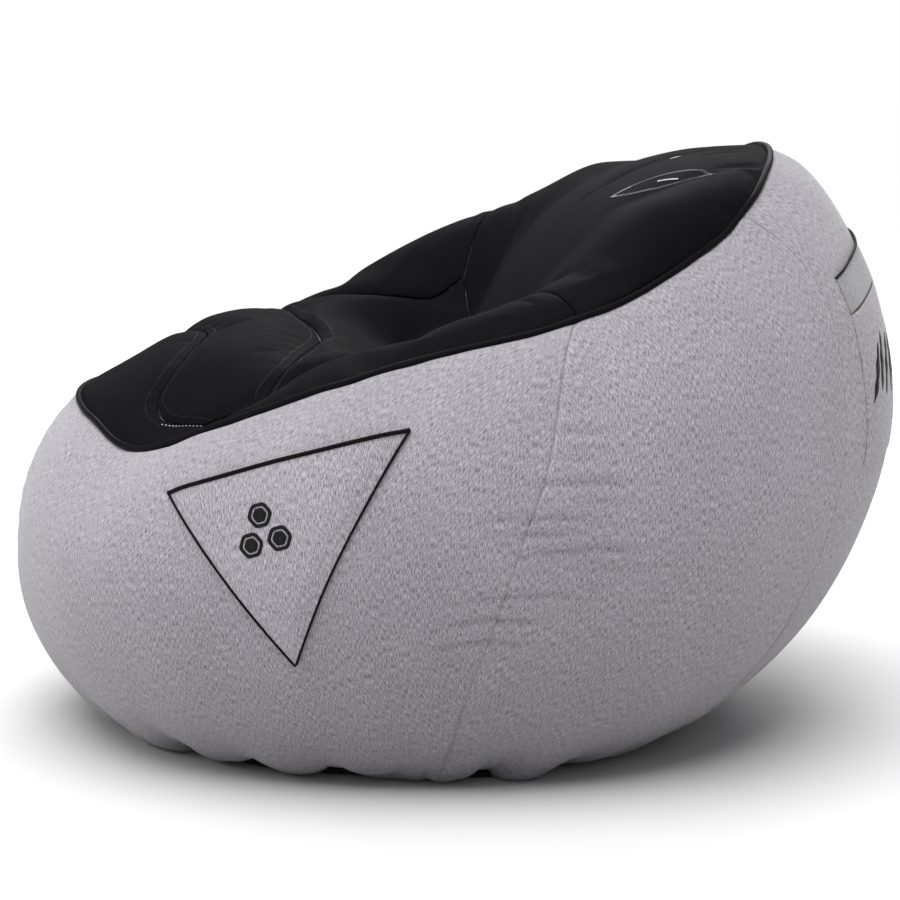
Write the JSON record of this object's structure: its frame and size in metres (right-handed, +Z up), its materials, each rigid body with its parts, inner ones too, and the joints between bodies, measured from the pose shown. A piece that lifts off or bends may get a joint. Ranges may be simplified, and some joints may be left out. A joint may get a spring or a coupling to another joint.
{
  "type": "bean bag chair",
  "caption": "Low bean bag chair with a grey fabric cover, a padded black bucket seat and backrest, a three-cornered side pocket, a back pocket and a zipped base.",
  "frame": {"origin": "on the floor under the middle of the chair's bounding box", "axes": "+Z up, +Y from the front of the seat towards the backrest, +X towards the sitter's left"},
  "size_m": [0.8592, 0.9836, 0.6471],
  "materials": {
    "cover_fabric": "heathered light grey linen-look weave, matte",
    "seat_fabric": "smooth black knit with a soft sheen",
    "piping": "black bias tape, slightly glossy",
    "base_fabric": "black woven base cloth, matte",
    "wadding": "white polyester wadding",
    "liner_fabric": "white lining cloth",
    "beads": "white expanded polystyrene beads",
    "zip_metal": "black coated zinc"
  },
  "bodies": {
    "chair": {"cover_front_left": "cover_fabric", "cover_front_right": "cover_fabric", "cover_rear_left": "cover_fabric", "cover_rear_right": "cover_fabric", "cover_back": "cover_fabric", "seat_pad_front": "seat_fabric", "seat_pad_middle": "seat_fabric", "seat_pad_rear": "seat_fabric", "backrest_pad": "seat_fabric", "arm_band_left": "seat_fabric", "arm_band_right": "seat_fabric", "wadding_front": "wadding", "wadding_middle": "wadding", "wadding_rear": "wadding", "wadding_backrest": "wadding", "wadding_arm_left": "wadding", "wadding_arm_right": "wadding", "rim_piping": "piping", "side_pocket": "cover_fabric", "side_pocket_binding": "piping", "side_pocket_edging": "piping", "back_pocket": "cover_fabric", "back_pocket_band": "cover_fabric", "back_pocket_binding": "piping", "base_panel": "base_fabric", "zip_half_front": "base_fabric", "zip_half_back": "base_fabric", "zip_stop_left": "zip_metal", "zip_stop_right": "zip_metal", "inner_liner": "liner_fabric", "liner_mouth_patch": "liner_fabric", "bead_filling": "beads"},
    "slider": {"zip_slider": "zip_metal"}
  },
  "joints": [
    {"name": "zip_slide", "type": "slide", "parent": "chair", "child": "slider", "axis": [-1, 0, 0], "range_m": [0, 0.388]}
  ]
}
